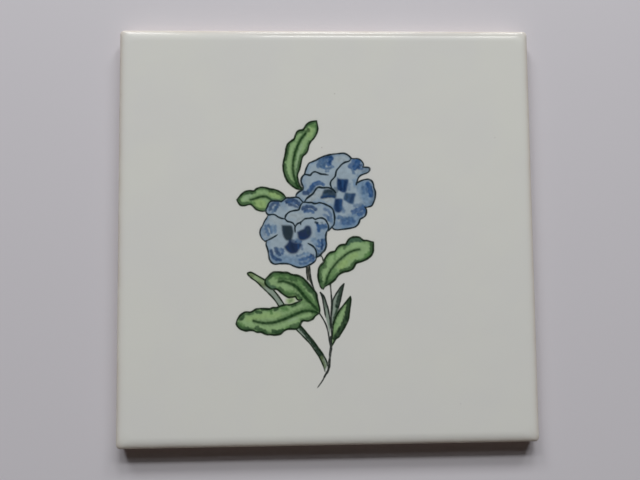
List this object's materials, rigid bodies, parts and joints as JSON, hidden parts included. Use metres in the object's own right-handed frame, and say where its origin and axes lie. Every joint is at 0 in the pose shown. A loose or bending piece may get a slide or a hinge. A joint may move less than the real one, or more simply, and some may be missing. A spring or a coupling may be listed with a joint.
{
  "type": "azulejo tile",
  "caption": "Square glazed wall tile with a soft cushion edge, upright joint sides, a drafted lower side and a back keyed with parallel ribs; its face carries a painted blue flower sprig.",
  "frame": {"origin": "centre of the back, on the plane of the rib crests that the tile rests on", "axes": "+Z out of the glazed face, +Y towards the top of the painted picture, +X to its right, along the back's ribs"},
  "size_m": [0.2, 0.2, 0.008],
  "materials": {
    "glazed_clay": "glossy cream tin glaze with a hand-painted flower sprig over a bare clay back"
  },
  "bodies": {
    "root": {"tile": "glazed_clay"}
  },
  "joints": []
}
